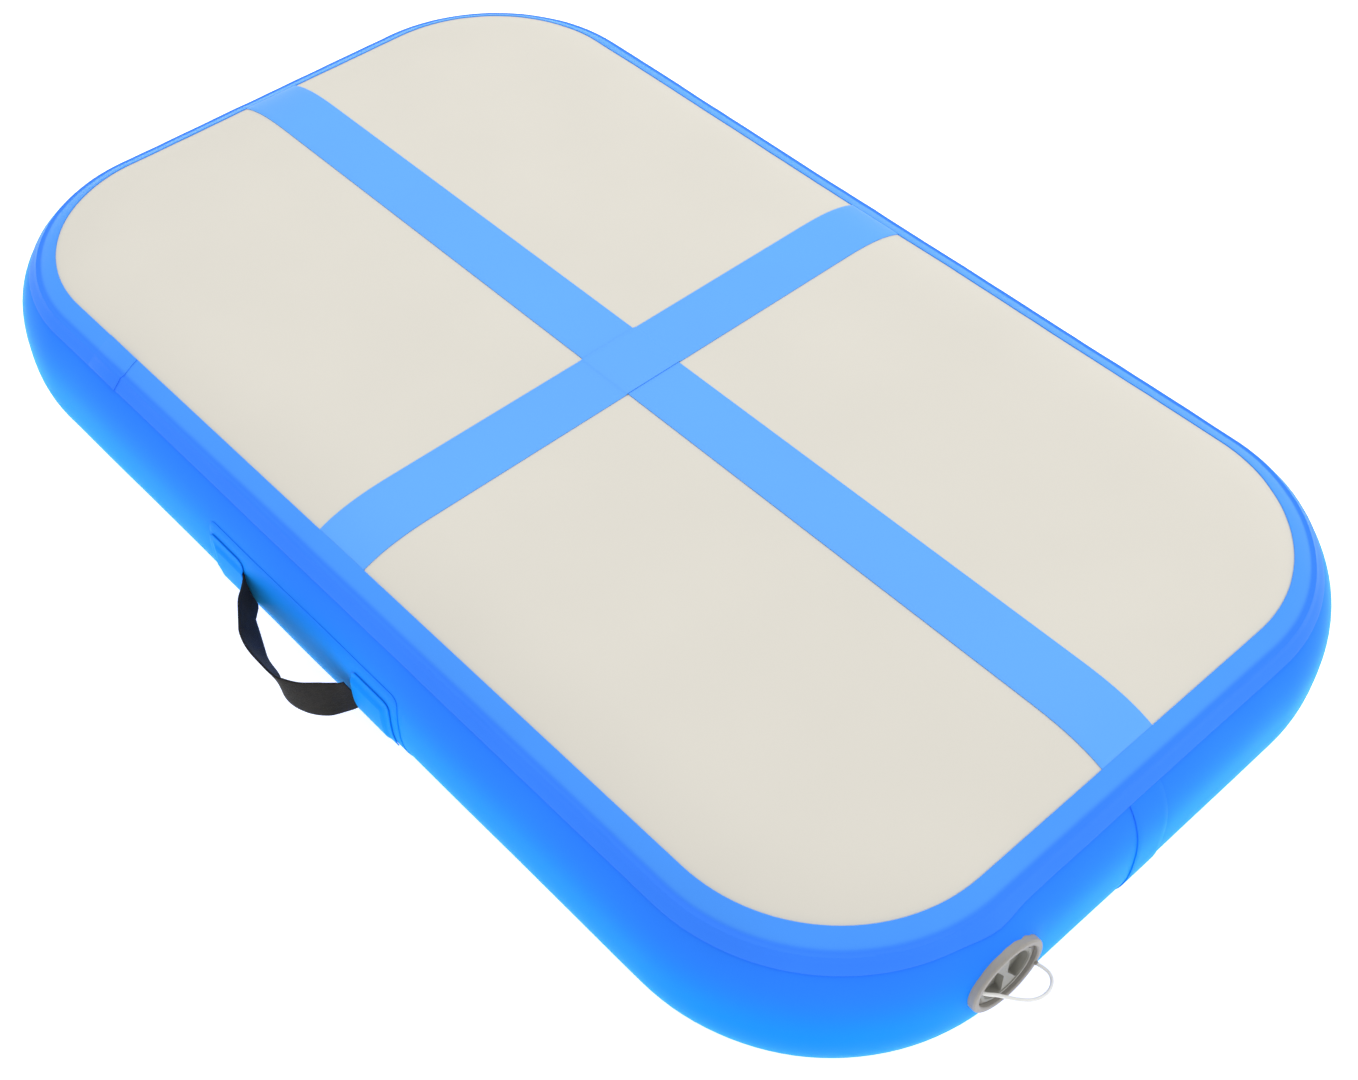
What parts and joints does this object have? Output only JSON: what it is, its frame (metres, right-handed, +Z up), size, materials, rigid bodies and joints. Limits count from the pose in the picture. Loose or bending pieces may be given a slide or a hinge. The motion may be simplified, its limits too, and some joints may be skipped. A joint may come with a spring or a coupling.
{
  "type": "inflatable air track mat",
  "caption": "Inflatable drop-stitch gymnastics mat with rounded corners, border tape, crossed deck stripes, side webbing handles and a capped push-stem valve.",
  "frame": {"origin": "centre of the underside, on the plane that the inflated mat lies on", "axes": "+X along the mat towards the valve end, +Y across it towards the right handle, +Z up"},
  "size_m": [1.0245, 0.671, 0.1516],
  "materials": {
    "deck_cloth": "matte coated fabric",
    "wall_cloth": "satin coated fabric",
    "border_tape": "satin coated tape",
    "stripe": "matte coated tape",
    "yarn": "polyester yarn",
    "webbing": "woven webbing",
    "valve_plastic": "moulded nylon",
    "cap_plastic": "moulded nylon",
    "stem_plastic": "moulded acetal",
    "seal_rubber": "matte",
    "spring_wire": "bright drawn",
    "leash_cord": "braided cord"
  },
  "bodies": {
    "mat": {"top_deck": "deck_cloth", "bottom_deck": "deck_cloth", "drop_stitch_yarns": "yarn", "side_wall": "wall_cloth", "side_wall_splice": "wall_cloth", "top_border_tape": "border_tape", "bottom_border_tape": "border_tape", "lengthwise_stripe": "stripe", "crosswise_stripe": "stripe", "left_handle_patch": "wall_cloth", "left_handle_front_pad": "wall_cloth", "left_handle_rear_pad": "wall_cloth", "left_handle_tails": "webbing", "right_handle_patch": "wall_cloth", "right_handle_front_pad": "wall_cloth", "right_handle_rear_pad": "wall_cloth", "right_handle_tails": "webbing", "valve_body": "valve_plastic", "valve_gasket": "seal_rubber", "clamp_washer": "seal_rubber", "valve_nut": "cap_plastic", "stem_spring": "spring_wire", "cap_leash": "leash_cord"},
    "left_handle": {"left_handle_strap": "webbing"},
    "right_handle": {"right_handle_strap": "webbing"},
    "leash_ring": {"cap_ring": "valve_plastic"},
    "cap": {"cap": "cap_plastic", "cap_seal": "seal_rubber"},
    "spring_seat": {"spring_retainer": "stem_plastic"},
    "stem": {"valve_stem": "stem_plastic", "stem_poppet": "cap_plastic", "poppet_seal": "seal_rubber"}
  },
  "joints": [
    {"name": "left_handle_swing", "type": "hinge", "parent": "mat", "child": "left_handle", "pos_m": [-0.013, -0.3015, 0.065], "axis": [1, 0, 0], "range_deg": [-50, 50]},
    {"name": "right_handle_swing", "type": "hinge", "parent": "mat", "child": "right_handle", "pos_m": [-0.013, 0.3015, 0.065], "axis": [-1, 0, 0], "range_deg": [-50, 50]},
    {"name": "cap_lift", "type": "slide", "parent": "mat", "child": "leash_ring", "axis": [0.9981, -0.061, 0], "range_m": [0, 0.035], "deforming": ["cap_leash"]},
    {"name": "cap_turn", "type": "hinge", "parent": "leash_ring", "child": "cap", "pos_m": [0.4997, -0.14864, 0.088], "axis": [0.9981, -0.061, 0], "range_deg": [0, 90]},
    {"name": "stem_push", "type": "slide", "parent": "mat", "child": "spring_seat", "axis": [-0.9981, 0.061, 0], "range_m": [0, 0.005], "stiffness_N_per_m": 600, "deforming": ["stem_spring"]},
    {"name": "stem_turn", "type": "hinge", "parent": "spring_seat", "child": "stem", "pos_m": [0.4997, -0.14864, 0.088], "axis": [0.9981, -0.061, 0], "range_deg": [0, 90]}
  ]
}
